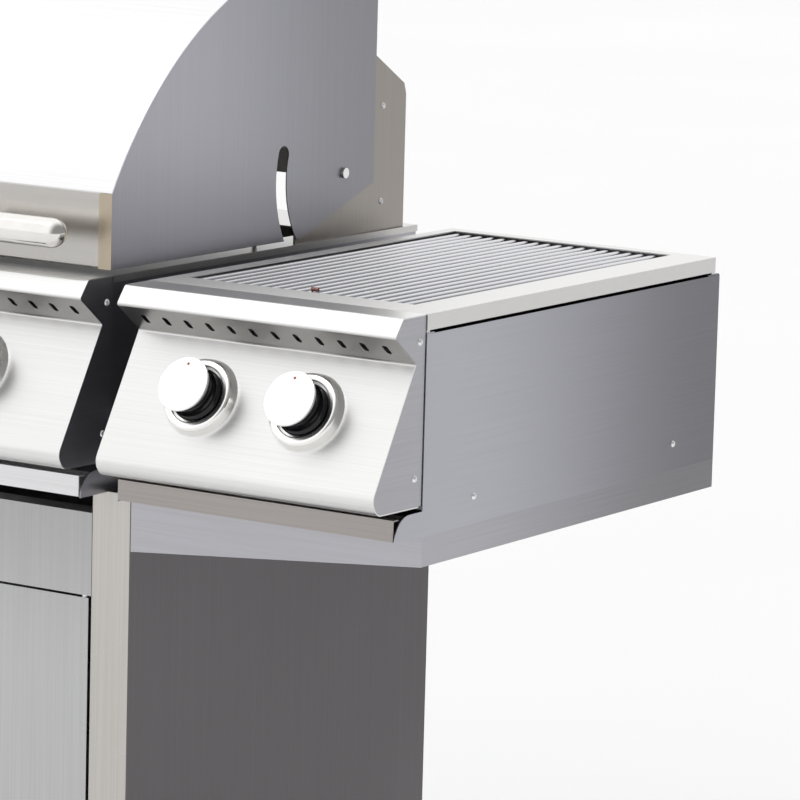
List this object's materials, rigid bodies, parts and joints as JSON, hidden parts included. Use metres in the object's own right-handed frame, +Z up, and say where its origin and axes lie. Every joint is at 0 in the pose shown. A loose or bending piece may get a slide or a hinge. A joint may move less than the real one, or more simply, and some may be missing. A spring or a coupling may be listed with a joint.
{
  "type": "gas barbecue grill",
  "caption": "Free-standing stainless gas grill on a wheeled two-door cart, with a swing-up hood, a double side burner and a side shelf.",
  "frame": {"origin": "on the floor, under the middle of the whole grill", "axes": "+X to the cook's right, +Y away from the cook, +Z up"},
  "size_m": [1.5628, 0.656, 1.2406],
  "materials": {
    "stainless": "brushed",
    "polished": "polished",
    "rod_steel": "drawn rod",
    "knob_black": "gloss",
    "valve_brass": "cast",
    "stem_steel": "turned",
    "pipe_steel": "satin",
    "dial": "polished",
    "cart_base": "brushed",
    "zinc": "zinc plated",
    "wheel_rubber": "matt",
    "lever_black": "matt"
  },
  "bodies": {
    "cart": {"cart_back_panel": "stainless", "cart_fascia": "stainless", "cart_floor": "cart_base", "cart_posts": "stainless", "cart_side_panels": "stainless", "caster_mounts": "zinc", "cooking_grates": "rod_steel", "fire_tub": "stainless", "gas_manifold": "pipe_steel", "gas_valves": "valve_brass", "grill_head_box": "stainless", "head_rim": "stainless", "heat_tents": "stainless", "hinge_pins": "polished", "hood_brackets": "stainless", "knob_bezels": "polished", "left_shelf_top": "stainless", "main_control_panel": "stainless", "panel_end_caps": "stainless", "screws": "polished", "shelf_frames": "stainless", "side_burner_bowl": "stainless", "side_burner_box": "stainless", "side_burner_frame": "stainless", "side_burner_grate": "rod_steel", "side_burner_heads": "valve_brass", "side_control_panel": "stainless", "tube_burners": "stainless", "warming_rack": "rod_steel"},
    "hood": {"hood_shell": "stainless", "hood_side_left": "stainless", "hood_side_right": "stainless", "hood_handle": "polished", "hood_thermometer": "dial"},
    "door_left": {"door_left": "stainless", "door_handle_left": "polished"},
    "door_right": {"door_right": "stainless", "door_handle_right": "polished"},
    "main_tray": {"main_drip_tray": "stainless"},
    "side_tray": {"side_drip_tray": "stainless"},
    "stem_1": {"valve_stem_1": "stem_steel"},
    "knob_1": {"knob_1": "knob_black"},
    "stem_2": {"valve_stem_2": "stem_steel"},
    "knob_2": {"knob_2": "knob_black"},
    "stem_3": {"valve_stem_3": "stem_steel"},
    "knob_3": {"knob_3": "knob_black"},
    "stem_4": {"valve_stem_4": "stem_steel"},
    "knob_4": {"knob_4": "knob_black"},
    "stem_5": {"valve_stem_5": "stem_steel"},
    "knob_5": {"knob_5": "knob_black"},
    "stem_6": {"valve_stem_6": "stem_steel"},
    "knob_6": {"knob_6": "knob_black"},
    "caster_left": {"caster_fork_left": "zinc"},
    "front_wheel_left": {"caster_wheel_left": "wheel_rubber"},
    "brake_left": {"brake_lever_left": "lever_black"},
    "rear_wheel_left": {"rear_wheel_left": "wheel_rubber"},
    "caster_right": {"caster_fork_right": "zinc"},
    "front_wheel_right": {"caster_wheel_right": "wheel_rubber"},
    "brake_right": {"brake_lever_right": "lever_black"},
    "rear_wheel_right": {"rear_wheel_right": "wheel_rubber"}
  },
  "joints": [
    {"name": "hood_hinge", "type": "hinge", "parent": "cart", "child": "hood", "pos_m": [0, 0.1743, 0.9991], "axis": [-1, 0, 0], "range_deg": [0, 85]},
    {"name": "door_left_hinge", "type": "hinge", "parent": "cart", "child": "door_left", "pos_m": [-0.3737, -0.225, 0.15], "axis": [0, 0, -1], "range_deg": [0, 110]},
    {"name": "door_right_hinge", "type": "hinge", "parent": "cart", "child": "door_right", "pos_m": [0.3737, -0.225, 0.15], "axis": [0, 0, 1], "range_deg": [0, 110]},
    {"name": "main_tray_slide", "type": "slide", "parent": "cart", "child": "main_tray", "axis": [0, -1, 0], "range_m": [0, 0.42]},
    {"name": "side_tray_slide", "type": "slide", "parent": "cart", "child": "side_tray", "axis": [0, -1, 0], "range_m": [0, 0.42]},
    {"name": "knob_push_1", "type": "slide", "parent": "cart", "child": "stem_1", "axis": [0, 0.8714, -0.4906], "range_m": [0, 0.005], "stiffness_N_per_m": 600, "springref_m": -0.012},
    {"name": "knob_turn_1", "type": "hinge", "parent": "stem_1", "child": "knob_1", "pos_m": [-0.2685, -0.27809, 0.829], "axis": [0, -0.8714, 0.4906], "range_deg": [0, 215]},
    {"name": "knob_push_2", "type": "slide", "parent": "cart", "child": "stem_2", "axis": [0, 0.8714, -0.4906], "range_m": [0, 0.005], "stiffness_N_per_m": 600, "springref_m": -0.012},
    {"name": "knob_turn_2", "type": "hinge", "parent": "stem_2", "child": "knob_2", "pos_m": [-0.0895, -0.27809, 0.829], "axis": [0, -0.8714, 0.4906], "range_deg": [0, 215]},
    {"name": "knob_push_3", "type": "slide", "parent": "cart", "child": "stem_3", "axis": [0, 0.8714, -0.4906], "range_m": [0, 0.005], "stiffness_N_per_m": 600, "springref_m": -0.012},
    {"name": "knob_turn_3", "type": "hinge", "parent": "stem_3", "child": "knob_3", "pos_m": [0.0895, -0.27809, 0.829], "axis": [0, -0.8714, 0.4906], "range_deg": [0, 215]},
    {"name": "knob_push_4", "type": "slide", "parent": "cart", "child": "stem_4", "axis": [0, 0.8714, -0.4906], "range_m": [0, 0.005], "stiffness_N_per_m": 600, "springref_m": -0.012},
    {"name": "knob_turn_4", "type": "hinge", "parent": "stem_4", "child": "knob_4", "pos_m": [0.2685, -0.27809, 0.829], "axis": [0, -0.8714, 0.4906], "range_deg": [0, 215]},
    {"name": "knob_push_5", "type": "slide", "parent": "cart", "child": "stem_5", "axis": [0, 0.8714, -0.4906], "range_m": [0, 0.005], "stiffness_N_per_m": 600, "springref_m": -0.012},
    {"name": "knob_turn_5", "type": "hinge", "parent": "stem_5", "child": "knob_5", "pos_m": [0.551, -0.27809, 0.829], "axis": [0, -0.8714, 0.4906], "range_deg": [0, 215]},
    {"name": "knob_push_6", "type": "slide", "parent": "cart", "child": "stem_6", "axis": [0, 0.8714, -0.4906], "range_m": [0, 0.005], "stiffness_N_per_m": 600, "springref_m": -0.012},
    {"name": "knob_turn_6", "type": "hinge", "parent": "stem_6", "child": "knob_6", "pos_m": [0.6765, -0.27809, 0.829], "axis": [0, -0.8714, 0.4906], "range_deg": [0, 215]},
    {"name": "caster_swivel_left", "type": "hinge", "parent": "cart", "child": "caster_left", "pos_m": [-0.3875, -0.169, 0.045], "axis": [0, 0, 1], "continuous": true},
    {"name": "front_wheel_roll_left", "type": "hinge", "parent": "caster_left", "child": "front_wheel_left", "pos_m": [-0.3875, -0.144, 0.045], "axis": [1, 0, 0], "continuous": true},
    {"name": "brake_tip_left", "type": "hinge", "parent": "caster_left", "child": "brake_left", "pos_m": [-0.3875, -0.189, 0.0915], "axis": [1, 0, 0], "range_deg": [0, 20]},
    {"name": "rear_wheel_roll_left", "type": "hinge", "parent": "cart", "child": "rear_wheel_left", "pos_m": [-0.3875, 0.265, 0.045], "axis": [1, 0, 0], "continuous": true},
    {"name": "caster_swivel_right", "type": "hinge", "parent": "cart", "child": "caster_right", "pos_m": [0.3875, -0.169, 0.045], "axis": [0, 0, 1], "continuous": true},
    {"name": "front_wheel_roll_right", "type": "hinge", "parent": "caster_right", "child": "front_wheel_right", "pos_m": [0.3875, -0.144, 0.045], "axis": [1, 0, 0], "continuous": true},
    {"name": "brake_tip_right", "type": "hinge", "parent": "caster_right", "child": "brake_right", "pos_m": [0.3875, -0.189, 0.0915], "axis": [1, 0, 0], "range_deg": [0, 20]},
    {"name": "rear_wheel_roll_right", "type": "hinge", "parent": "cart", "child": "rear_wheel_right", "pos_m": [0.3875, 0.265, 0.045], "axis": [1, 0, 0], "continuous": true}
  ]
}
